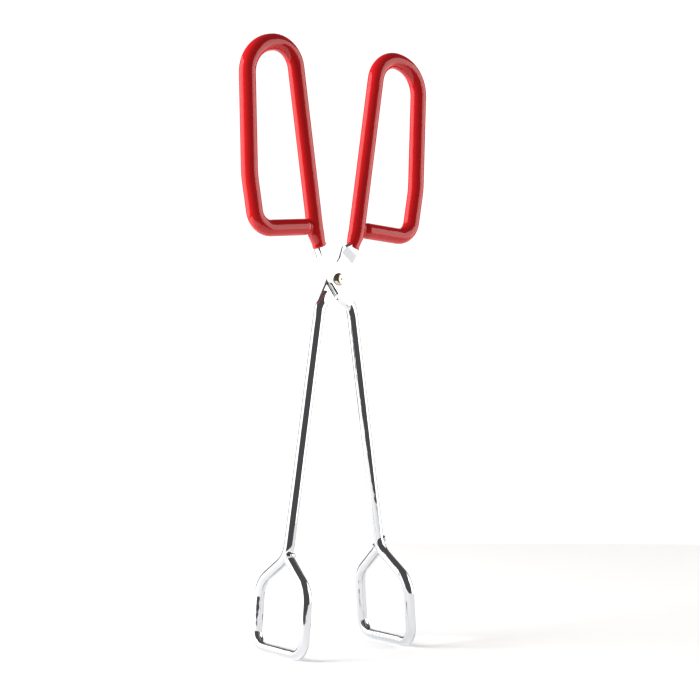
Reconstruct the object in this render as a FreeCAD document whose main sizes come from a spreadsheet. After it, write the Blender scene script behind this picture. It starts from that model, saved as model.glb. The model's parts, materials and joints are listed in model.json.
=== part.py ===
"""Riveted scissor tongs of bent round wire, with dip-coated finger loops.

Two identical arms cross at a rivet.  Each arm is one length of wire: a finger loop, a rod, a
flattened half that laps over the other arm, a leg and a toothed jaw loop.  The front arm has its
finger loop on the left and its jaw on the right; the rear arm is the same piece turned half a
turn about the upright axis.

Frame: +Z up, +X to the right, the tongs open in the XZ plane and the rivet lies along Y.
The origin is on the surface that the open tongs stand on, midway between the two jaws.
Each arm is drawn with the rivet's centre at its own origin and is lifted into place at the end.
"""
import FreeCAD, Part
import Sketcher
import math
import os

from FreeCAD import Matrix, Placement, Rotation, Vector

SIZES = {
    # wire and coating
    "wire_diameter": 4.76,
    "coat_thickness": 1.32,
    "coat_lip": 0.45,
    "coat_taper": 6.0,
    "coat_end_height": 14.0,
    # the two long straight runs: lean from upright, and distance from the rivet at its level
    "arm_lean": 8.8,
    "rod_offset": 8.4,
    "leg_offset": 7.4,
    # finger loop, measured from the rivet
    "grip_height": 103.1,
    "crown_fall": 5.4,
    "grip_reach": 48.6,
    "knee_reach": 46.9,
    "knee_height": 42.9,
    "heel_reach": 43.0,
    "heel_height": 20.4,
    "joint_height": 22.8,
    "crown_inner_radius": 11.2,
    "crown_outer_radius": 14.4,
    "knee_radius": 40.0,
    "heel_radius": 8.0,
    # flattened lap at the rivet
    "lap_lean": 39.0,
    "lap_width": 8.2,
    "crown_flat": 0.18,
    "lap_gap": 0.1,
    "lap_step": 9.7,
    "lap_reach": 7.5,
    "flare_reach": 14.0,
    "flare_inset": 0.13,
    "lap_edge_round": 1.0,
    "web_reach": 15.5,
    "web_start": 11.0,
    "web_width": 8.6,
    "lap_bend_radius": 5.0,
    # rivet
    "rivet_diameter": 4.0,
    "rivet_clearance": 0.05,
    "rivet_seat": 0.03,
    "rivet_head_diameter": 5.8,
    "rivet_head_height": 1.6,
    "rivet_tail_diameter": 5.6,
    "rivet_tail_height": 1.1,
    "rivet_tail_bevel": 0.5,
    # jaw loop
    "jaw_drop": 161.3,
    "jaw_height": 40.6,
    "jaw_lean": 4.5,
    "jaw_long_reach": 18.8,
    "jaw_short_reach": 15.2,
    "shoulder_fall": 13.0,
    "neck_radius": 10.0,
    "shoulder_radius": 12.0,
    "jaw_corner_radius": 6.5,
    "tooth_pitch": 2.5,
    "tooth_depth": 0.5,
    # weld beads
    "bead_width": 0.5,
    "bead_length": 1.0,
}

# Distance from the wire's centre plane to the lap's pressed faces.
LAP_FACE = "(Sizes.wire_diameter / 2 - Sizes.crown_flat)"
# Half the width that the pressed stretch tapers to, just inside the round wire's side.
FLARE_END = "(Sizes.wire_diameter / 2 - Sizes.flare_inset)"
# A bend takes at most this share of each straight run beside it.
BEND_SHARE = 0.49
# How far cutting tools run past the faces that they cut.
OVERCUT = 5.0

doc = FreeCAD.newDocument("tongs")
sheet = doc.addObject("Spreadsheet::Sheet", "Sizes")
for row, (alias, value) in enumerate(SIZES.items(), start=1):
    sheet.set(f"A{row}", alias)
    sheet.set(f"B{row}", str(value))
    sheet.setAlias(f"B{row}", alias)
doc.recompute()


def size(alias):
    """The value of one cell of the sheet."""
    return float(sheet.get(alias))


def slope(alias):
    """Sideways run per millimetre of height for an angle from upright."""
    return math.tan(math.radians(size(alias)))


# ---------------------------------------------------------------------------------------------
# Corners of the wire's centreline, from the rivet's centre
# ---------------------------------------------------------------------------------------------
def on_rod(height):
    return Vector(-size("rod_offset") - height * slope("arm_lean"), 0, height)


def on_leg(height):
    return Vector(size("leg_offset") - height * slope("arm_lean"), 0, height)


def lap_corner(offset):
    """Where a straight run that passes the rivet at this offset meets the lap's centreline."""
    height = offset / (slope("lap_lean") - slope("arm_lean"))
    return Vector(-height * slope("lap_lean"), 0, height)


neck = on_leg(size("jaw_height") - size("jaw_drop"))


def in_jaw(reach, drop):
    """A point of the jaw loop's plane: sideways reach, and drop below the neck."""
    return neck + Vector(drop * slope("jaw_lean"), reach, -drop)


rod_bend = lap_corner(size("rod_offset"))
leg_bend = lap_corner(-size("leg_offset"))
crown_inner = on_rod(size("grip_height"))
crown_outer = Vector(-size("grip_reach"), 0, size("grip_height") - size("crown_fall"))
knee = Vector(-size("knee_reach"), 0, size("knee_height"))
heel = Vector(-size("heel_reach"), 0, size("heel_height"))
grip_joint = on_rod(size("joint_height"))
grip_side = (crown_outer + knee) * 0.5

long_shoulder = in_jaw(-size("jaw_long_reach"), size("shoulder_fall"))
long_corner = in_jaw(-size("jaw_long_reach"), size("jaw_height"))
short_corner = in_jaw(size("jaw_short_reach"), size("jaw_height"))
short_shoulder = in_jaw(size("jaw_short_reach"), size("shoulder_fall"))
bar_middle = (long_corner + short_corner) * 0.5


def bend(before, corner, after, radius):
    """The arc that rounds a corner: its two ends and its middle, and the radius it gets."""
    back = (before - corner)
    ahead = (after - corner)
    shorter = min(back.Length, ahead.Length)
    back.normalize()
    ahead.normalize()
    half = back.getAngle(ahead) / 2
    setback = min(radius / math.tan(half), BEND_SHARE * shorter)
    radius = setback * math.tan(half)
    towards = back + ahead
    towards.normalize()
    centre = corner + towards * (radius / math.sin(half))
    return corner + back * setback, centre - towards * radius, corner + ahead * setback, radius


def bent_path(name, corners, radii):
    """A centreline of straight runs joined by tangent arcs."""
    path = doc.addObject("Part::Feature", name)
    edges = []
    start = corners[0]
    for index, radius in enumerate(radii, start=1):
        first, middle, last, _ = bend(*corners[index - 1:index + 2], radius)
        edges.append(Part.LineSegment(start, first).toShape())
        edges.append(Part.Arc(first, middle, last).toShape())
        start = last
    edges.append(Part.LineSegment(start, corners[-1]).toShape())
    path.Shape = Part.Wire(edges)
    return path


def along(direction):
    """The turn that lays an object's own Z axis along a direction."""
    return Rotation(Vector(0, 0, 1), direction)


def rod(name, path, radius):
    """A round bar swept along a centreline; radius is an expression in the sheet's names."""
    edges = path.Shape.Edges
    section = doc.addObject("Part::Circle", name + "_section")
    section.setExpression("Radius", radius)
    section.Placement = Placement(edges[0].Vertexes[0].Point, along(edges[0].tangentAt(0)))
    sweep = doc.addObject("Part::Sweep", name)
    sweep.Sections = [section]
    sweep.Spine = (path, [f"Edge{number}" for number in range(1, len(edges) + 1)])
    sweep.Solid = True
    return sweep


def fuse(name, pieces):
    joined = doc.addObject("Part::MultiFuse", name)
    joined.Shapes = pieces
    return joined


def cut(name, base, tool):
    remainder = doc.addObject("Part::Cut", name)
    remainder.Base = base
    remainder.Tool = tool
    remainder.Refine = False
    return remainder


# ---------------------------------------------------------------------------------------------
# The lap's own frame: X down the arm, Y across it and Z out of its front face
# ---------------------------------------------------------------------------------------------
def lap_rotation(side):
    """Side 1 is this arm's lap; side -1 is the direction of the arm that crosses it."""
    lean = math.radians(size("lap_lean"))
    down = Vector(side * math.sin(lean), 0, -math.cos(lean))
    out = Vector(0, -1, 0)
    across = out.cross(down)
    matrix = Matrix(down.x, across.x, out.x, 0, down.y, across.y, out.y, 0,
                    down.z, across.z, out.z, 0, 0, 0, 0, 1)
    return Placement(matrix).Rotation


def origin_plane(body, role):
    return next(item for item in body.Origin.OriginFeatures if item.Role == role)


def origin_sketch(body, name, role):
    sketch = body.newObject("Sketcher::SketchObject", name)
    sketch.AttachmentSupport = [(origin_plane(body, role), "")]
    sketch.MapMode = "FlatFace"
    return sketch


def outline(sketch, points):
    """A closed run of straight lines; each corner is a pair of expressions in the sheet's names."""
    start_of_line, sketch_origin = 1, -1
    places = [Vector(sketch.evalExpression(x), sketch.evalExpression(y), 0) for x, y in points]
    for here, there in zip(places, places[1:] + places[:1]):
        sketch.addGeometry(Part.LineSegment(here, there))
    for line in range(len(points)):
        following = (line + 1) % len(points)
        sketch.addConstraint(Sketcher.Constraint("Coincident", line, 2, following, start_of_line))
    for line, (across, up) in enumerate(points):
        for kind, expression in (("DistanceX", across), ("DistanceY", up)):
            value = sketch.evalExpression(expression)
            number = sketch.addConstraint(Sketcher.Constraint(
                kind, sketch_origin, start_of_line, line, start_of_line, value))
            sketch.setExpression(f"Constraints[{number}]", expression)


def lap_body(name):
    """The widened, flattened stretch of wire, with rounded edges, before it is halved.
    It is widest in the crook of its upper bend, where the press spreads the wire into a web."""
    body = doc.addObject("PartDesign::Body", name)
    sketch = origin_sketch(body, name + "_outline", "XY_Plane")
    reach, flare = "Sizes.lap_reach", "Sizes.flare_reach"
    wide, narrow = "Sizes.lap_width / 2", FLARE_END
    outline(sketch, [
        ("-" + flare, "-" + narrow), ("-" + reach, "-" + wide),
        (reach, "-" + wide), (flare, "-" + narrow),
        (flare, narrow), (reach, wide), ("-" + reach, wide),
        ("-Sizes.web_start", "Sizes.web_width / 2"), ("-Sizes.web_reach", narrow),
    ])
    pad = body.newObject("PartDesign::Pad", name + "_pad")
    pad.Profile = sketch
    pad.setExpression("Length", "2 * " + LAP_FACE)
    pad.SideType = "Symmetric"
    doc.recompute()
    flats = [f"Face{number}" for number, face in enumerate(pad.Shape.Faces, start=1)
             if abs(face.normalAt(0, 0).z) > 0.99]
    rounding = body.newObject("PartDesign::Fillet", name + "_edges")
    rounding.Base = (pad, flats)
    rounding.setExpression("Radius", "Sizes.lap_edge_round")
    body.Tip = rounding
    body.Placement = Placement(Vector(), lap_rotation(1))
    return body


def lap_box(name, side, length, width, low, high):
    """A cutting box centred on a lap's centreline, between two depths along its outward axis."""
    box = doc.addObject("Part::Box", name)
    box.setExpression("Length", length)
    box.setExpression("Width", width)
    box.setExpression("Height", f"{high} - ({low})")
    doc.recompute()
    corner = Vector(-box.Length.Value / 2, -box.Width.Value / 2, box.evalExpression(low))
    turn = lap_rotation(side)
    box.Placement = Placement(turn.multVec(corner), turn)
    return box


def lap_cutters(name):
    """What the press takes away: both crowns of the round wire, and the half that the other
    arm lies in.  The recess is a channel along the crossing arm, wider than that arm, so that
    the arms can swing."""
    flat = "2 * Sizes.flare_reach"
    across = "2 * Sizes.lap_width"
    channel = "2 * Sizes.lap_step"
    beyond = f"{LAP_FACE} + {OVERCUT}"
    front = lap_box(name + "_front_flat", 1, flat, across, LAP_FACE, beyond)
    back = lap_box(name + "_back_flat", 1, flat, across, f"-({beyond})", f"-{LAP_FACE}")
    recess = lap_box(name + "_recess", -1, channel, channel,
                     f"-({beyond})", "Sizes.lap_gap / 2")
    hole = doc.addObject("Part::Cylinder", name + "_rivet_hole")
    hole.setExpression("Radius", "Sizes.rivet_diameter / 2 + Sizes.rivet_clearance")
    hole.Height = 2 * OVERCUT
    hole.Placement = Placement(Vector(0, -OVERCUT, 0), along(Vector(0, 1, 0)))
    return [front, back, recess, hole]


def tooth_cutters(name):
    """Vee grooves up and down across the gripping side of the jaw's bar."""
    bar = short_corner - long_corner
    room = bar.Length - 2 * size("jaw_corner_radius")
    pitch = size("tooth_pitch")
    gaps = int(room / pitch)
    down = (long_corner - long_shoulder).normalize()
    inward = Vector(0, 1, 0).cross(down)
    crest = bar_middle + inward * (size("wire_diameter") / 2)
    grooves = []
    for number in range(gaps + 1):
        groove = doc.addObject("Part::Prism", f"{name}_groove_{number + 1}")
        groove.Polygon = 4
        groove.setExpression("Circumradius", "Sizes.tooth_depth")
        groove.setExpression("Height", "Sizes.wire_diameter")
        place = crest + Vector(0, (number - gaps / 2) * pitch, 0)
        turn = Rotation(inward, Vector(0, 1, 0), down, "XZY")
        groove.Placement = Placement(place - down * (size("wire_diameter") / 2), turn)
        grooves.append(groove)
    return grooves


def weld_collar(name, foot, direction):
    """A collar round the end of a wire, where it meets the side of another wire."""
    collar = doc.addObject("Part::Cone", name)
    collar.setExpression("Radius1", "Sizes.wire_diameter / 2 + Sizes.bead_width")
    collar.setExpression("Radius2", "Sizes.wire_diameter / 2")
    collar.setExpression("Height", "Sizes.wire_diameter / 2 + Sizes.bead_length")
    collar.Placement = Placement(foot, along(direction))
    return collar


def finish(item, turn):
    """Lift a piece of one arm to the rivet's height; the rear arm's pieces turn half round."""
    item.Placement = Placement(Vector(), Rotation(Vector(0, 0, 1), turn))
    item.setExpression("Placement.Base.z", "Sizes.jaw_drop + Sizes.wire_diameter / 2")
    return item


def arm(side, turn):
    """One arm, its two weld beads and its coating."""
    wire = "Sizes.wire_diameter / 2"
    coat = wire + " + Sizes.coat_thickness"
    bar = rod(side + "_grip_bar", bent_path(
        side + "_grip_bar_path", [grip_joint, heel, knee, grip_side],
        [size("heel_radius"), size("knee_radius")]), wire)
    spine = rod(side + "_spine", bent_path(
        side + "_spine_path",
        [grip_side, crown_outer, crown_inner, rod_bend, leg_bend, neck, long_shoulder,
         long_corner, bar_middle],
        [size("crown_outer_radius"), size("crown_inner_radius"), size("lap_bend_radius"),
         size("lap_bend_radius"), size("neck_radius"), size("shoulder_radius"),
         size("jaw_corner_radius")]), wire)
    closing = rod(side + "_jaw_closing", bent_path(
        side + "_jaw_closing_path", [bar_middle, short_corner, short_shoulder, neck],
        [size("jaw_corner_radius"), size("shoulder_radius")]), wire)
    wires = fuse(side + "_wires", [bar, spine, closing])
    blank = fuse(side + "_blank", [wires, lap_body(side + "_lap")])
    worked = cut(side + "_toothed", blank, fuse(side + "_teeth", tooth_cutters(side)))
    *presses, hole = lap_cutters(side)
    for press in presses:
        worked = cut(press.Name + "_pressed", worked, press)
    finished_arm = cut(side + "_arm", worked, hole)

    grip_collar = weld_collar(side + "_grip_collar", grip_joint, (heel - grip_joint).normalize())
    jaw_collar = weld_collar(side + "_jaw_collar", neck, (short_shoulder - neck).normalize())
    grip_weld = cut(side + "_grip_weld", grip_collar, wires)
    jaw_weld = cut(side + "_jaw_weld", jaw_collar, wires)

    coat_end = on_rod(size("coat_end_height"))
    rod_run = (crown_inner - rod_bend).normalize()
    full_coat = coat_end + rod_run * size("coat_taper")
    coat_bar = rod(side + "_coat_bar", bent_path(
        side + "_coat_bar_path", [grip_joint, heel, knee, grip_side],
        [size("heel_radius"), size("knee_radius")]), coat)
    coat_loop = rod(side + "_coat_loop", bent_path(
        side + "_coat_loop_path", [grip_side, crown_outer, crown_inner, full_coat],
        [size("crown_outer_radius"), size("crown_inner_radius")]), coat)
    taper = doc.addObject("Part::Cone", side + "_coat_taper")
    taper.setExpression("Radius1", wire + " + Sizes.coat_lip")
    taper.setExpression("Radius2", coat)
    taper.setExpression("Height", "Sizes.coat_taper")
    taper.Placement = Placement(coat_end, along(rod_run))
    coat_outside = fuse(side + "_coat_outside", [coat_bar, coat_loop, taper])
    covered = fuse(side + "_covered", [blank, grip_collar])
    coating = cut(side + "_grip_coating", coat_outside, covered)
    return [finish(item, turn) for item in (finished_arm, grip_weld, jaw_weld, coating)]


def rivet():
    """A domed head in front, a shank through both laps and a set-down tail behind."""
    seat = f"({LAP_FACE} + Sizes.rivet_seat)"
    shank = doc.addObject("Part::Cylinder", "rivet_shank")
    shank.setExpression("Radius", "Sizes.rivet_diameter / 2")
    shank.setExpression("Height", "2 * " + seat)
    shank.setExpression("Placement.Base.z", "-" + seat)

    dome = ("((Sizes.rivet_head_diameter / 2) ^ 2 + Sizes.rivet_head_height ^ 2)"
            " / (2 * Sizes.rivet_head_height)")
    head = doc.addObject("Part::Sphere", "rivet_head")
    head.setExpression("Radius", dome)
    head.setExpression("Angle1", f"asin(1 - Sizes.rivet_head_height / ({dome}))")
    head.setExpression("Placement.Base.z", f"{seat} + Sizes.rivet_head_height - {dome}")

    tail = doc.addObject("Part::Cylinder", "rivet_tail")
    tail.setExpression("Radius", "Sizes.rivet_tail_diameter / 2")
    tail.setExpression("Height", "Sizes.rivet_tail_height - Sizes.rivet_tail_bevel")
    tail.setExpression("Placement.Base.z",
                       f"Sizes.rivet_tail_bevel - Sizes.rivet_tail_height - {seat}")
    bevel = doc.addObject("Part::Cone", "rivet_tail_end")
    bevel.setExpression("Radius1", "Sizes.rivet_tail_diameter / 2 - Sizes.rivet_tail_bevel")
    bevel.setExpression("Radius2", "Sizes.rivet_tail_diameter / 2")
    bevel.setExpression("Height", "Sizes.rivet_tail_bevel")
    bevel.setExpression("Placement.Base.z", f"-Sizes.rivet_tail_height - {seat}")
    whole = fuse("pivot_rivet", [shank, head, tail, bevel])
    whole.Placement = Placement(Vector(), along(Vector(0, -1, 0)))
    whole.setExpression("Placement.Base.z", "Sizes.jaw_drop + Sizes.wire_diameter / 2")
    return whole


def export(parts):
    doc.recompute()
    for item in doc.Objects:
        if "Invalid" in item.State or "Error" in item.State:
            raise RuntimeError(f"{item.Name} did not compute: {item.State}")
    os.makedirs("parts", exist_ok=True)
    for part in parts:
        shape = part.Shape
        if shape.isNull() or not shape.isValid() or len(shape.Solids) != 1:
            raise RuntimeError(f"{part.Label} is not one valid solid")
        shape.exportStep(f"parts/{part.Label}.step")
        print(f"{part.Label:20s} {shape.Volume:9.1f} mm3  {shape.BoundBox}")


export(arm("front", 0) + arm("rear", 180) + [rivet()])
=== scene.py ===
# %% [markdown]
# # Wire scissor tongs with dipped handles
# Two bent steel wires cross at a pressed, riveted lap. Each one is a finger loop above the
# rivet and a leg with a square jaw loop below it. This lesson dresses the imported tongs: the
# wires, the dipped handles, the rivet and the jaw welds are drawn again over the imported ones,
# because their real form is rounder. Only the two welds inside the handles stay as they are
# packed, and get a plated finish.

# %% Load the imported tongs
import json
import math

import bpy
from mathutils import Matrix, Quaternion, Vector


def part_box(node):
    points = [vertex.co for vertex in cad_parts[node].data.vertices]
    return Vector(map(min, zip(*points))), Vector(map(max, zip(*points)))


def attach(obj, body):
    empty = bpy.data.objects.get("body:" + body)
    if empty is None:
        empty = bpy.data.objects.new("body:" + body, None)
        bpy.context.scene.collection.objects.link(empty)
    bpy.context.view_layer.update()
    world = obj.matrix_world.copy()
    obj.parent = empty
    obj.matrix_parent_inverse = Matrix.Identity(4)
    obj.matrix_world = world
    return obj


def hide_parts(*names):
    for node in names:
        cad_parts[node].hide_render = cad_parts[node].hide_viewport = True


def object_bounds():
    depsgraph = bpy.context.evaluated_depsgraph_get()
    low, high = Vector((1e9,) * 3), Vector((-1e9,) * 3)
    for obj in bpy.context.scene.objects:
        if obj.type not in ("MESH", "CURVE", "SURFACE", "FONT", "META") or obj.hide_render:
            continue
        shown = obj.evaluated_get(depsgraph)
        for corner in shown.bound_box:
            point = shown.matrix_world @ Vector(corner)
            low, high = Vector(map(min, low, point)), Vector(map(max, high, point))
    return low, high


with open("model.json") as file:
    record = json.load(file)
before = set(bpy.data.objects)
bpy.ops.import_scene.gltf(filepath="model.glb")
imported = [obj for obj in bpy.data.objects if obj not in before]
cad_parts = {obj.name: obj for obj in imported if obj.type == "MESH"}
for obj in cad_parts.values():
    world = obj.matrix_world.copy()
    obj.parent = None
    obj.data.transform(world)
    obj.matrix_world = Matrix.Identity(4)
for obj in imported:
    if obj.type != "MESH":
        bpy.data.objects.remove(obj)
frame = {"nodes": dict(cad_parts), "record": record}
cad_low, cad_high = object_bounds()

print("tongs stand", round(1000 * (cad_high.z - cad_low.z), 1), "mm tall")

# %% [markdown]
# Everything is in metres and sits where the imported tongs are. The drawing of a wire is
# easier to read in millimetres from the rivet, so one small function turns such a point
# into a place in the scene. The rivet's place is the hinge's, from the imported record.

# %% Millimetres from the rivet
MM = 0.001
hinge = Vector(frame["record"]["behaviour"]["joints"][0]["pos_m"])


def from_rivet(x, y, z):
    return hinge + Vector((x, y, z)) * MM


print("rivet at", [round(value / MM, 2) for value in hinge], "mm")

# %% [markdown]
# An operator acts on all that is selected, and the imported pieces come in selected. So each
# piece starts with nothing selected, and ends with its place written into its mesh.

# %% Start, pick and settle a piece
def start_clean():
    if bpy.context.object and bpy.context.object.mode != "OBJECT":
        bpy.ops.object.mode_set(mode="OBJECT")
    bpy.ops.object.select_all(action="DESELECT")


def pick(*pieces):
    """Selects these pieces and no others, and makes the last one active."""
    start_clean()
    for piece in pieces:
        piece.select_set(True)
    bpy.context.view_layer.objects.active = pieces[-1]


def settle(name):
    """Names the new piece and writes its place, turn and size into its mesh."""
    piece = bpy.context.object
    piece.name = piece.data.name = name
    bpy.ops.object.transform_apply(location=True, rotation=True, scale=True)
    return piece


def apply_modifier(piece, kind, **settings):
    """Adds one modifier and applies it at once, so that the mesh itself has the shape."""
    modifier = piece.modifiers.new(kind.title(), kind)
    for setting, value in settings.items():
        setattr(modifier, setting, value)
    bpy.context.view_layer.objects.active = piece
    bpy.ops.object.modifier_apply(modifier=modifier.name)


def report(piece):
    sizes = [round(side / MM, 1) for side in piece.dimensions]
    print(piece.name, len(piece.data.polygons), "faces,", sizes, "mm")


# %% [markdown]
# Smooth shading hides the faces of a round piece. A pressed or turned piece also has edges
# that must stay crisp, so it is smoothed only across edges flatter than a given angle.

# %% Smooth a piece
def shade_smooth(piece, flattest_edge=None):
    """Smooths it all, or only across the edges that turn less than so many degrees."""
    pick(piece)
    if flattest_edge is None:
        bpy.ops.object.shade_smooth()
    else:
        bpy.ops.object.shade_smooth_by_angle(angle=math.radians(flattest_edge))


# %% [markdown]
# ## Rings
# A round bar, a dipped skin and a rivet are all one ring that moves. A circle is the first
# ring. Extruding it along its heading draws a straight run, extruding and resizing it makes a
# taper or a dome, and spinning it round a point beside it makes a bend, as a bending die
# does. The ring keeps its centre and heading here, so the next step knows where it is.

# %% A ring that draws as it moves
class Ring:
    def __init__(self, centre, heading, radius, sides):
        start_clean()
        self.centre, self.heading = centre, heading.normalized()
        self.width = self.depth = radius
        bpy.ops.mesh.primitive_circle_add(
            vertices=sides, radius=radius, location=centre,
            rotation=self.heading.to_track_quat("Z", "Y").to_euler())
        bpy.ops.object.transform_apply(location=True, rotation=True, scale=True)
        bpy.ops.object.mode_set(mode="EDIT")
        bpy.ops.mesh.select_all(action="SELECT")

    def run(self, ahead, width=None, depth=None):
        """Draws straight ahead. A new width changes the ring across, and depth along Y."""
        step = self.heading * ahead
        bpy.ops.mesh.extrude_region_move(TRANSFORM_OT_translate={"value": step})
        self.centre = self.centre + step
        if width is not None:
            depth = width if depth is None else depth
            across, back = width / self.width, depth / self.depth
            bpy.ops.transform.resize(value=(across, back, across), center_override=self.centre)
            self.width, self.depth = width, depth

    def bend(self, leaving, bend_radius, arc_step):
        """Spins the ring round a point beside it until it heads the leaving way."""
        angle = self.heading.angle(leaving)
        if angle < 1e-3:
            return
        axis = self.heading.cross(leaving).normalized()
        pivot = self.centre + axis.cross(self.heading) * bend_radius
        steps = max(2, round(angle * bend_radius / arc_step))
        bpy.ops.mesh.spin(steps=steps, angle=-angle, center=pivot, axis=axis)
        turn = Quaternion(axis, angle)
        self.centre = pivot + turn @ (self.centre - pivot)
        self.heading = turn @ self.heading

    def close(self, name):
        """Closes both ends, turns every face outward and leaves edit mode."""
        bpy.ops.mesh.select_all(action="SELECT")
        bpy.ops.mesh.remove_doubles(threshold=1e-6)
        bpy.ops.mesh.fill_holes(sides=0)
        bpy.ops.mesh.select_all(action="SELECT")
        bpy.ops.mesh.normals_make_consistent(inside=False)
        bpy.ops.object.mode_set(mode="OBJECT")
        return settle(name)


def cut_back(heading, leaving, bend_radius):
    """How far before a corner its bend starts."""
    return bend_radius * math.tan(heading.angle(leaving) / 2)


def follow(ring, corners, bend_radii, arc_step, sections=None):
    """Draws runs and bends from the ring's place through the corners, to the last one.

    The sections give the ring's width and depth at each corner, where they change.
    """
    sections = sections or [(None, None)] * len(corners)
    for corner, beyond, bend_radius, section in zip(corners, corners[1:], bend_radii, sections):
        leaving = (beyond - corner).normalized()
        run_left = (corner - ring.centre).length - cut_back(ring.heading, leaving, bend_radius)
        ring.run(run_left, *section)
        ring.bend(leaving, bend_radius, arc_step)
    ring.run((corners[-1] - ring.centre).length, *sections[-1])


# %% [markdown]
# ## Colour and nodes
# Colours are written as the eye sees them, as sRGB hex values. Shaders work in linear light,
# so one function converts them. A second small function adds a node with its settings.

# %% Colour and node helpers
def linear(hex_colour):
    """An sRGB hex colour as linear red, green, blue and alpha."""
    channels = [int(hex_colour[place:place + 2], 16) / 255 for place in (1, 3, 5)]
    return [value / 12.92 if value <= 0.04045 else ((value + 0.055) / 1.055) ** 2.4
            for value in channels] + [1.0]


def add_node(tree, kind, inputs=(), links=(), **settings):
    """Adds one node; inputs are values by socket, links are sockets to join to."""
    node = tree.nodes.new(kind)
    for setting, value in settings.items():
        setattr(node, setting, value)
    for socket, value in dict(inputs).items():
        node.inputs[socket].default_value = value
    for socket, source in dict(links).items():
        tree.links.new(source, node.inputs[socket])
    return node


def new_material(name, **shader_values):
    """A material with one Principled shader, and its tree and shader to build on."""
    material = bpy.data.materials.new(name)
    material.use_nodes = True
    tree = material.node_tree
    shader = tree.nodes["Principled BSDF"]
    for socket, value in shader_values.items():
        shader.inputs[socket.replace("_", " ")].default_value = value
    return material, tree, shader


print("middle grey #808080 is", round(linear("#808080")[0], 3), "in linear light")

# %% [markdown]
# ## Chrome-plated steel wire
# Bright chrome over nickel on drawn steel wire. Chrome is a mirror with a faint blue cast and
# no colour of its own, so its look is the room's. The wire under it was drawn through a die
# and then bent, which leaves the surface wavy over some millimetres and finely lined along
# its length. The waves bend the reflected edges, the lines barely break them up. Real lines
# are too fine to see here, so they are drawn coarser.

# %% Chrome plate
WAVE_LENGTH = 7 * MM
DRAW_LINE, DRAW_LINE_DEPTH, DRAW_LINE_STRETCH = 0.35 * MM, 0.02 * MM, 0.03


def chrome(name, colour, roughness, wave_height):
    """A bright plated metal, wavy by the wave's height and lined along Z."""
    material, tree, shader = new_material(
        name, Base_Color=linear(colour), Metallic=1.0, Roughness=roughness)
    place = add_node(tree, "ShaderNodeTexCoord")
    waves = add_node(tree, "ShaderNodeTexNoise", {"Scale": 1 / WAVE_LENGTH, "Detail": 1.0},
                     {"Vector": place.outputs["Object"]})
    along = add_node(tree, "ShaderNodeMapping", {"Scale": (1, 1, DRAW_LINE_STRETCH)},
                     {"Vector": place.outputs["Object"]})
    lines = add_node(tree, "ShaderNodeTexNoise", {"Scale": 1 / DRAW_LINE, "Detail": 2.0},
                     {"Vector": along.outputs["Vector"]})
    wavy = add_node(tree, "ShaderNodeBump", {"Strength": 1.0, "Distance": wave_height},
                    {"Height": waves.outputs["Fac"]})
    lined = add_node(tree, "ShaderNodeBump", {"Strength": 0.05, "Distance": DRAW_LINE_DEPTH},
                     {"Height": lines.outputs["Fac"], "Normal": wavy.outputs["Normal"]})
    tree.links.new(lined.outputs["Normal"], shader.inputs["Normal"])
    return material


chrome_wire = chrome("chrome-plated drawn steel wire", "#DCDEE0", 0.05, 0.12 * MM)
weld_plate = chrome("chrome-plated weld bead", "#C9CACC", 0.12, 0.25 * MM)
for node in ("front_grip_weld", "rear_grip_weld"):
    frame["nodes"][node].data.materials.clear()
    frame["nodes"][node].data.materials.append(weld_plate)
    print(node, "is", weld_plate.name)

# %% [markdown]
# ## The wire
# Each arm is one length of steel wire. It starts against its own rod, goes round the finger
# loop, comes down the rod, is pressed flat and wide at the lap, and goes on down the leg and
# round the jaw loop to its neck, where the end is welded on. The ring draws the same route.
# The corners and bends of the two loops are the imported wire's, in millimetres from the rivet.
# The rod and the leg lean by one slope, and the jaw loop by another.

# %% The wire's route
WIRE_RADIUS = 2.38 * MM
ROD_OFFSET, LEG_OFFSET, ARM_SLOPE = -8.4, 7.4, -math.tan(math.radians(8.8))
JAW_SLOPE = math.tan(math.radians(4.5))
LONG_REACH, SHORT_REACH, SHOULDER_FALL, JAW_HEIGHT = -18.8, 15.2, 13.0, 40.6


def on_rod(height):
    return from_rivet(ROD_OFFSET + ARM_SLOPE * height, 0, height)


def in_jaw(reach, drop):
    """A point of the jaw loop, sideways and down from the leg's foot."""
    return neck + Vector((drop * JAW_SLOPE, reach, -drop)) * MM


joint = on_rod(22.8)
loop_corners = [from_rivet(-43.0, 0, 20.4), from_rivet(-46.9, 0, 42.9),
                from_rivet(-48.6, 0, 97.7), on_rod(103.1)]
loop_bends = [8 * MM, 40 * MM, 14.4 * MM, 11.2 * MM]
neck = from_rivet(LEG_OFFSET - ARM_SLOPE * 120.7, 0, -120.7)
jaw_corners = [neck, in_jaw(LONG_REACH, SHOULDER_FALL), in_jaw(LONG_REACH, JAW_HEIGHT),
               in_jaw(SHORT_REACH, JAW_HEIGHT), in_jaw(SHORT_REACH, SHOULDER_FALL), neck]
jaw_bends = [10 * MM, 12 * MM, 6.5 * MM, 6.5 * MM, 12 * MM]
print("finger loop", len(loop_corners), "corners, jaw loop", len(jaw_corners) - 1, "corners")

# %% [markdown]
# At the lap the ring gets wide across and deep along Y, as the press spreads the wire. The
# press bends the rod a little early, under the handle's hem, so the lap starts on its inner
# side. Below the rivet the lap narrows again and turns into the leg.

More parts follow.
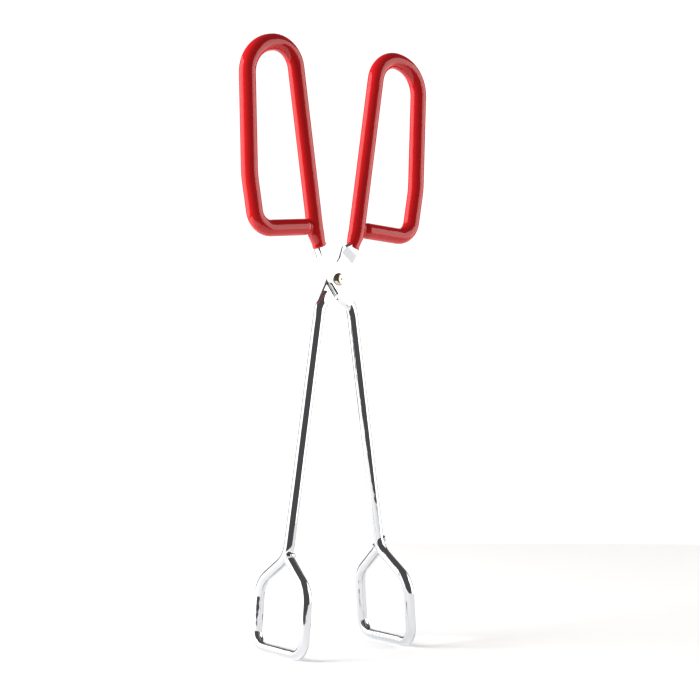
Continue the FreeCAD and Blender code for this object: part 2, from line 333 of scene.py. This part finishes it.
# %% The lap's route
rod_end = on_rod(17.8)
lap_corners = [from_rivet(-8.5, 0, 13.2), from_rivet(-5.3, 0, 8.2), from_rivet(-2.9, 0, 4.4),
               from_rivet(0, 0, 0), from_rivet(2.6, 0, -4.3), from_rivet(5.0, 0, -7.7),
               from_rivet(8.95, 0, -11.8), from_rivet(9.9, 0, -16.2)]
lap_bends = [9 * MM] * 6 + [6 * MM]
lap_sections = [(2.75 * MM, 2.75 * MM), (3.5 * MM, 4.1 * MM), (3.95 * MM, 4.9 * MM),
                (4.1 * MM, 5.2 * MM), (3.5 * MM, 4.9 * MM), (3.15 * MM, 4.3 * MM),
                (2.6 * MM, 2.19 * MM), (WIRE_RADIUS, WIRE_RADIUS)]
print("lap up to", round(2 * lap_sections[3][0] / MM, 1), "mm wide before the press")

# %% [markdown]
# The arm is then drawn in one go, from the joint on the rod to the neck. Small bends get
# shorter steps than large ones, so that all of them look round.

# %% Draw the wire
WIRE_SIDES = 48
LOOP_STEP, LAP_STEP, JAW_STEP = 1.2 * MM, 0.5 * MM, 0.6 * MM
ROD_END_BEND, LEG_TOP_BEND = 5 * MM, 9 * MM
arm_ring = Ring(joint, loop_corners[0] - joint, WIRE_RADIUS, WIRE_SIDES)
follow(arm_ring, loop_corners + [rod_end], loop_bends, LOOP_STEP)
arm_ring.bend((lap_corners[0] - rod_end).normalized(), ROD_END_BEND, LAP_STEP)
follow(arm_ring, lap_corners, lap_bends, LAP_STEP, lap_sections)
arm_ring.bend((neck - lap_corners[-1]).normalized(), LEG_TOP_BEND, JAW_STEP)
follow(arm_ring, jaw_corners, jaw_bends, JAW_STEP)
front_wire = arm_ring.close("front_plated_wire")
report(front_wire)


# %% [markdown]
# The upper bend's crook is spread into a small web, which the press leaves between rod and
# lap. Then the two flat dies of the press take all that stands beyond their faces.

# %% Spread the web
WEB_PLACE = from_rivet(-6.6, 0, 13.0)
WEB_SIZE, WEB_PUSH = 3.8 * MM, Vector((2.6, 0, 0.9)) * MM
for vertex in front_wire.data.vertices:
    flat_place = Vector((vertex.co.x, 0, vertex.co.z))
    nearness = max(0.0, 1 - ((flat_place - WEB_PLACE).length / WEB_SIZE) ** 2)
    vertex.co += WEB_PUSH * nearness ** 2
print("web pushed", round(WEB_PUSH.length / MM, 1), "mm inward")


# %% Press the lap
def cut_away(piece, tool):
    """Cuts the tool's shape out of the piece and throws the tool away."""
    apply_modifier(piece, "BOOLEAN", operation="DIFFERENCE", object=tool, solver="EXACT")
    bpy.data.objects.remove(tool)


DIE_FACE, DIE_TOP, DIE_FOOT, DIE_WIDTH = 2.2 * MM, 17.0 * MM, -12.0 * MM, 30 * MM
TOOL_DEPTH = 8 * MM
for side in (-1, 1):
    start_clean()
    bpy.ops.mesh.primitive_cube_add(size=1, location=hinge + Vector(
        (0, side * (DIE_FACE + TOOL_DEPTH / 2), (DIE_TOP + DIE_FOOT) / 2)))
    bpy.context.object.scale = (DIE_WIDTH, TOOL_DEPTH, DIE_TOP - DIE_FOOT)
    cut_away(front_wire, settle("die_tool"))
report(front_wire)

# %% [markdown]
# Half of each lap is milled away along the crossing arm, so that the two laps lie in each
# other and both keep their faces level. A box set along the other arm does it. Its upper end
# leans out, because the cutter runs out in a ramp under the handle's hem. A round bar then
# cuts the rivet's hole.

# %% Mill the recess and the rivet's hole
LAP_GAP, RECESS_HALF, RECESS_TOP, RAMP_LEAN = 0.1 * MM, 9.7 * MM, 13.2 * MM, 1.5
RECESS_TILT, HOLE_RADIUS = 51, 2.05 * MM
up_lap = Vector((-math.sin(math.radians(RECESS_TILT)), 0, math.cos(math.radians(RECESS_TILT))))
start_clean()
bpy.ops.mesh.primitive_cube_add(
    size=1, rotation=(0, -math.radians(90 - RECESS_TILT), 0),
    location=hinge + up_lap * (RECESS_TOP - RECESS_HALF) / 2
    + Vector((0, (TOOL_DEPTH - LAP_GAP) / 2, 0)))
bpy.context.object.scale = (RECESS_TOP + RECESS_HALF, TOOL_DEPTH, 2 * RECESS_HALF)
recess_tool = settle("recess_tool")
for vertex in recess_tool.data.vertices:
    if (vertex.co - hinge).dot(up_lap) > 0 and vertex.co.y > 0:
        vertex.co += up_lap * RAMP_LEAN * TOOL_DEPTH
cut_away(front_wire, recess_tool)
start_clean()
bpy.ops.mesh.primitive_cylinder_add(vertices=WIRE_SIDES, radius=HOLE_RADIUS, depth=2 * TOOL_DEPTH,
                                    location=hinge, rotation=(math.pi / 2, 0, 0))
cut_away(front_wire, settle("hole_tool"))
report(front_wire)

# %% [markdown]
# The jaw bar grips with small notches across its inner side. Four-sided bars, a corner
# down, cut them at an even pitch.

# %% Cut the grip's teeth
TOOTH_DEPTH, TOOTH_PITCH, TOOTH_COUNT = 0.5 * MM, 2.5 * MM, 9
jaw_down = (jaw_corners[2] - jaw_corners[1]).normalized()
inward = Vector((0, 1, 0)).cross(jaw_down)
bar_middle = (jaw_corners[2] + jaw_corners[3]) / 2
for number in range(TOOTH_COUNT):
    start_clean()
    along_bar = Vector((0, (number - (TOOTH_COUNT - 1) / 2) * TOOTH_PITCH, 0))
    bpy.ops.mesh.primitive_cylinder_add(
        vertices=4, radius=TOOTH_DEPTH, depth=2 * WIRE_RADIUS,
        location=bar_middle + inward * WIRE_RADIUS + along_bar,
        rotation=jaw_down.to_track_quat("Z", "Y").to_euler())
    cut_away(front_wire, settle("tooth_tool"))
front_wire.data.materials.append(chrome_wire)
report(front_wire)

# %% [markdown]
# ## Dipped PVC
# The handles are dipped in liquid vinyl (plastisol) and cured. The skin is thick, glossy and
# slightly soft, so it has a sharp clear reflection over a deep red, and faint swells where it
# ran before it set.

# %% Dipped vinyl
SWELL_LENGTH, SWELL_HEIGHT = 9 * MM, 0.08 * MM
vinyl, tree, shader = new_material(
    "dip-moulded PVC plastisol", Base_Color=linear("#CF1A1E"), Roughness=0.07, IOR=1.5)
place = add_node(tree, "ShaderNodeTexCoord")
swells = add_node(tree, "ShaderNodeTexNoise", {"Scale": 1 / SWELL_LENGTH, "Detail": 1.0},
                  {"Vector": place.outputs["Object"]})
swollen = add_node(tree, "ShaderNodeBump", {"Strength": 1.0, "Distance": SWELL_HEIGHT},
                   {"Height": swells.outputs["Fac"]})
tree.links.new(swollen.outputs["Normal"], shader.inputs["Normal"])
print(vinyl.name, "swells every", round(SWELL_LENGTH / MM), "mm")

# %% [markdown]
# The skin follows the finger loop: from its hem above the lap, up the long rod, over the
# crown, down the outer side, round the heel and back along the bottom bar to the rod. The
# corners and bends are the wire's own. It is drawn as one ring's path. The hem is a short
# rolled lip, wider across the lap than along Y, and the bottom bar rounds off where it meets
# the rod's side.

# %% Draw the finger loop's skin
coat_low, coat_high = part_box("front_grip_coating")
SKIN_RADIUS = (coat_high.y - coat_low.y) / 2
SKIN_STEP, SKIN_FOOT_BEND, BAR_REST = 1.5 * MM, 8 * MM, 5.4 * MM
HEM_RADIUS, HEM_LIP, HEM_TAPER = 2.83 * MM, 1.6 * MM, 6.0 * MM
BAR_END_RINGS = ((0.9, 3.35), (0.7, 2.9), (0.5, 2.6), (2.6, 2.6))
hem = on_rod(13.9) + Vector((1.5, 0, 0)) * MM
bar_end = joint + (loop_corners[0] - joint).normalized() * BAR_REST
skin_corners = [on_rod(21.0)] + list(reversed(loop_corners)) + [bar_end]
skin_bends = [SKIN_FOOT_BEND] + list(reversed(loop_bends))
loop = Ring(hem, skin_corners[0] - hem, WIRE_RADIUS, WIRE_SIDES)
loop.run(0.05 * MM, 3.2 * MM, HEM_RADIUS - 0.2 * MM)
loop.run(0.2 * MM, 3.4 * MM, HEM_RADIUS)
loop.run(HEM_LIP, 3.0 * MM, 2.95 * MM)
loop.run(HEM_TAPER - HEM_LIP, SKIN_RADIUS)
follow(loop, skin_corners, skin_bends, SKIN_STEP)
for ahead, radius in BAR_END_RINGS:
    loop.run(ahead * MM, radius * MM)
front_skin = loop.close("front_vinyl_skin")
report(front_skin)

# %% [markdown]
# The ring's path crosses itself where the bottom bar runs into the rod. A voxel remesh makes
# one skin of it, and smoothing leaves the small fillet that liquid vinyl makes in a corner.

# %% Make it one skin
SKIN_VOXEL, SKIN_SMOOTHINGS = 0.32 * MM, 9
apply_modifier(front_skin, "REMESH", mode="VOXEL", voxel_size=SKIN_VOXEL)
apply_modifier(front_skin, "SMOOTH", factor=0.5, iterations=SKIN_SMOOTHINGS)
front_skin.data.materials.append(vinyl)
report(front_skin)


# %% [markdown]
# The rear arm is the front arm turned half round the upright line through the rivet, so its
# pieces are copies, each with its own mesh.

# %% Turn a copy for the rear arm
PRESSED_EDGE = 14


def rear_copy(piece, name):
    pick(piece)
    bpy.ops.object.duplicate(linked=False)
    bpy.ops.transform.rotate(value=math.pi, orient_axis="Z", center_override=(0, 0, 0))
    return settle(name)


shade_smooth(front_skin)
shade_smooth(front_wire, PRESSED_EDGE)
rear_skin = rear_copy(front_skin, "rear_vinyl_skin")
rear_wire = rear_copy(front_wire, "rear_plated_wire")
print("made", rear_skin.name, "and", rear_wire.name)

# %% [markdown]
# Each new piece rides on its own arm's body, and the imported piece under it is hidden.
# The imported pieces stay in the model, where they do the colliding.

# %% Put the skins and wires on their arms and hide the imported ones
for piece, body in ((front_skin, "front"), (rear_skin, "rear")):
    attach(piece, body)
    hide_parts(body + "_grip_coating")
for piece, body in ((front_wire, "front"), (rear_wire, "rear")):
    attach(piece, body)
    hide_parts(body + "_arm")
    print(piece.name, "stands for", body + "_arm")

# %% [markdown]
# ## The rivet
# A nickel-plated steel rivet holds the laps. Its head is a low pan: a flat top with the small
# pit that the header leaves, a sloping side and a thin rim. The tail behind was set down into
# a lower dome. The ring draws all of it along the rivet's own line, front to back. Each pair
# is a place along that line and the radius there, in millimetres.

# %% Rivet
RIVET_SIDES, RIVET_BEVEL, RIVET_EDGE = 64, 0.06 * MM, 30
RIVET_PROFILE = ((-3.80, 0.45), (-3.83, 0.70), (-3.81, 1.90), (-3.68, 2.18), (-3.15, 2.50),
                 (-2.70, 2.78), (-2.52, 2.88), (-2.25, 2.88), (-2.20, 1.95), (2.20, 1.95),
                 (2.23, 2.75), (2.45, 2.85), (2.80, 2.55), (3.10, 1.90), (3.27, 1.10),
                 (3.33, 0.40))
PIT_FLOOR = -3.66
rivet_ring = Ring(from_rivet(0, PIT_FLOOR, 0), Vector((0, 1, 0)), 0.25 * MM, RIVET_SIDES)
for place, radius in RIVET_PROFILE:
    rivet_ring.run(hinge.y + place * MM - rivet_ring.centre.y, radius * MM)
rivet = rivet_ring.close("lap_rivet")
apply_modifier(rivet, "BEVEL", width=RIVET_BEVEL, segments=2, limit_method="ANGLE")
shade_smooth(rivet, RIVET_EDGE)
nickel = chrome("nickel-plated cold-headed steel", "#CFC6B4", 0.14, 0.04 * MM)
rivet.data.materials.append(nickel)
report(rivet)
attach(rivet, "front")
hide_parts("pivot_rivet")

# %% [markdown]
# ## Jaw welds
# Where the wire's end meets the foot of the leg, a short bead joins them. On the front arm a
# spatter of it also stands on the leg's other side. Each is a ring that swells and shrinks as
# it moves, which leaves the ripples. Remeshed and smoothed, it is a lump of metal.

# %% Draw the beads
BEAD_SIDES = 20


def bead(start, heading, swells, step):
    """A lump along the heading; the swells are its radius at each step, in millimetres."""
    ring = Ring(start, heading, swells[0] * MM, BEAD_SIDES)
    for swell in swells[1:]:
        ring.run(step, swell * MM)
    return ring.close("bead")


crook = bead(neck + Vector((-2.6, 1.9, 0.4)) * MM, Vector((1, 0, 0.1)),
             (0.6, 1.2, 1.45, 1.38, 1.6, 1.48, 1.5, 1.15, 0.5), 0.62 * MM)
spatter = bead(neck + Vector((0.5, -1.5, 5.6)) * MM, Vector((0.35, -0.1, -1)),
               (0.4, 0.9, 1.15, 1.08, 1.15, 0.8, 0.4), 0.5 * MM)
rear_bead = rear_copy(crook, "rear_jaw_bead")
pick(spatter, crook)
bpy.ops.object.join()
front_bead = settle("front_jaw_bead")
report(front_bead)

# %% Melt and place the beads
BEAD_VOXEL, BEAD_SMOOTHINGS = 0.2 * MM, 3
for piece in (front_bead, rear_bead):
    apply_modifier(piece, "REMESH", mode="VOXEL", voxel_size=BEAD_VOXEL)
    apply_modifier(piece, "SMOOTH", factor=0.5, iterations=BEAD_SMOOTHINGS)
    shade_smooth(piece)
    piece.data.materials.append(weld_plate)
for piece, body in ((front_bead, "front"), (rear_bead, "rear")):
    report(piece)
    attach(piece, body)
    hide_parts(body + "_jaw_weld")

# %% [markdown]
# ## The studio
# A pale floor and a white room give the white ground. The floor is acrylic lit from below, so
# it stays nearly white and takes only a soft shadow.

# %% Glow, direction and level sheet
TABLE_FRONT, TABLE_DEPTH, TABLE_WIDTH = 0.25, 0.62, 0.8
VIEW_AZIMUTH = -39.0
middle = (cad_low + cad_high) / 2


def glow(name, colour, strength):
    """A material that shines evenly and reflects nothing."""
    material = bpy.data.materials.new(name)
    material.use_nodes = True
    tree = material.node_tree
    tree.nodes.clear()
    light = add_node(tree, "ShaderNodeEmission", {"Color": linear(colour), "Strength": strength})
    add_node(tree, "ShaderNodeOutputMaterial", (), {"Surface": light.outputs["Emission"]})
    return material


def direction(azimuth, elevation):
    """Away from the tongs; azimuth 0 is the front, and 90 the right-hand side."""
    turn, rise = math.radians(azimuth), math.radians(elevation)
    return Vector((math.sin(turn) * math.cos(rise), -math.cos(turn) * math.cos(rise),
                   math.sin(rise)))


def level_sheet(name, nearest, depth, width, height, material):
    """A level sheet square to the camera: it starts so near to the camera and goes back."""
    start_clean()
    toward_camera = direction(VIEW_AZIMUTH, 0)
    bpy.ops.mesh.primitive_plane_add(
        size=1, location=toward_camera * (nearest - depth / 2) + Vector((0, 0, height)),
        rotation=(0, 0, math.atan2(toward_camera.y, toward_camera.x)))
    bpy.context.object.scale = (depth, width, 1)
    sheet = settle(name)
    sheet.data.materials.append(material)
    return sheet


print("the front right is toward", [round(part, 2) for part in direction(45, 0)])

# %% Floor and room
FLOOR_GLOW, ROOM_STRENGTH = 0.26, 1.15
acrylic, tree, shader = new_material(
    "backlit white acrylic", Base_Color=linear("#F4F4F4"), Roughness=0.9,
    Emission_Color=linear("#FFFFFF"), Emission_Strength=FLOOR_GLOW)
level_sheet("floor", TABLE_FRONT, TABLE_DEPTH, TABLE_WIDTH, cad_low.z, acrylic)

world = bpy.data.worlds.new("white room")
bpy.context.scene.world = world
world.use_nodes = True
world.node_tree.nodes["Background"].inputs["Color"].default_value = (1, 1, 1, 1)
world.node_tree.nodes["Background"].inputs["Strength"].default_value = ROOM_STRENGTH
print("floor", TABLE_WIDTH, "m wide and", TABLE_DEPTH, "m deep, in a", world.name)

# %% [markdown]
# Chrome shows what stands round it. A big dark card behind the camera draws the dark line
# down each wire, two brown flags behind the tongs darken the wires' edges, and two softboxes
# at the sides draw the hard-edged streaks on the vinyl. The card and the flags are not lit
# cloth. They glow dimly at a set strength, a painted dark surround that the chrome reflects
# and that darkens the vinyl's front. The camera itself sees none of them.

# %% Cards and softboxes
def panel(name, azimuth, elevation, width, height, material, distance=0.9):
    """A flat card that faces the tongs; the azimuth is counted from the camera's."""
    start_clean()
    outward = direction(VIEW_AZIMUTH + azimuth, elevation)
    bpy.ops.mesh.primitive_plane_add(size=1, location=middle + outward * distance,
                                     rotation=outward.to_track_quat("Z", "Y").to_euler())
    bpy.context.object.scale = (width, height, 1)
    card = settle(name)
    card.data.materials.append(material)
    card.visible_camera = False
    print(name, width, "by", height, "m")


# Painted reflection: the dark and brown cards glow dimly at a fixed strength and are not lit.
dim_glow_card = glow("dim glowing card", "#555356", 1.0)
brown_glow_card = glow("brown glowing card", "#6A5C55", 1.0)
panel("dark_card", azimuth=6, elevation=0, width=3.7, height=3.0, material=dim_glow_card, distance=0.95)
for name, azimuth in (("left_flag", -140), ("right_flag", 140)):
    panel(name, azimuth, elevation=18, width=0.48, height=1.1, material=brown_glow_card)
panel("right_softbox", azimuth=97, elevation=10, width=0.95, height=0.9,
      material=glow("softbox cloth right", "#FFFBF6", 2.6))
panel("left_softbox", azimuth=-90, elevation=12, width=0.95, height=0.9,
      material=glow("softbox cloth left", "#FFFFFF", 2.2))

# %% [markdown]
# A dark ceiling and dark ground past the table's edge carry the dark line on where a wire
# turns up or down. They are the same dimly glowing card, a painted dark surround that shows
# in reflections and shading but not to the camera.

# %% Dark ceiling and ground
DARK_WIDTH = 6
for name, nearest, depth, height in (("dark_ceiling", 1.3, 2.6, 1.15),
                                     ("dark_ground", 4.25, 4.0, -0.2)):
    level_sheet(name, nearest, depth, DARK_WIDTH, height, dim_glow_card).visible_camera = False
    print(name, "at", height, "m")

# %% [markdown]
# The left side gets a key light of its own. It is soft and only shades: a mirror image of it
# would be one streak too many on the vinyl.

# %% Key light
KEY_POWER, KEY_SIZE, KEY_DISTANCE = 8.5, 0.45, 0.8
outward = direction(VIEW_AZIMUTH - 72, 22)
start_clean()
bpy.ops.object.light_add(type="AREA", location=middle + outward * KEY_DISTANCE,
                         rotation=outward.to_track_quat("Z", "Y").to_euler())
key = bpy.context.object
key.name = "key_light"
key.data.size = KEY_SIZE
key.data.energy = KEY_POWER
key.visible_glossy = False
print("key light", KEY_POWER, "W,", KEY_SIZE, "m across")

# %% [markdown]
# ## The camera
# A long lens at the height of the tongs' middle, to the left of their front. It looks a
# little beside that middle and is rolled by a hair, as a camera held by hand is.

# %% Camera
CAMERA_DISTANCE, CAMERA_RISE, LENS, SENSOR = 0.6865, 0.115, 79.13, 36.0
CAMERA_ROLL = math.radians(0.23)
look_at = middle + Vector((8.22, 0, -1.58)) * MM
back = direction(VIEW_AZIMUTH, CAMERA_RISE)
bpy.ops.object.camera_add(location=look_at + back * CAMERA_DISTANCE)
camera = bpy.context.object
camera.name = "camera"
camera.data.lens = LENS
camera.data.sensor_width = SENSOR
camera.rotation_mode = "QUATERNION"
camera.rotation_quaternion = (-back).to_track_quat("-Z", "Y") @ Quaternion((0, 0, 1), CAMERA_ROLL)
bpy.context.scene.camera = camera
bpy.context.scene.view_settings.view_transform = "Standard"
print("camera", CAMERA_DISTANCE, "m away, with a", LENS, "mm lens")
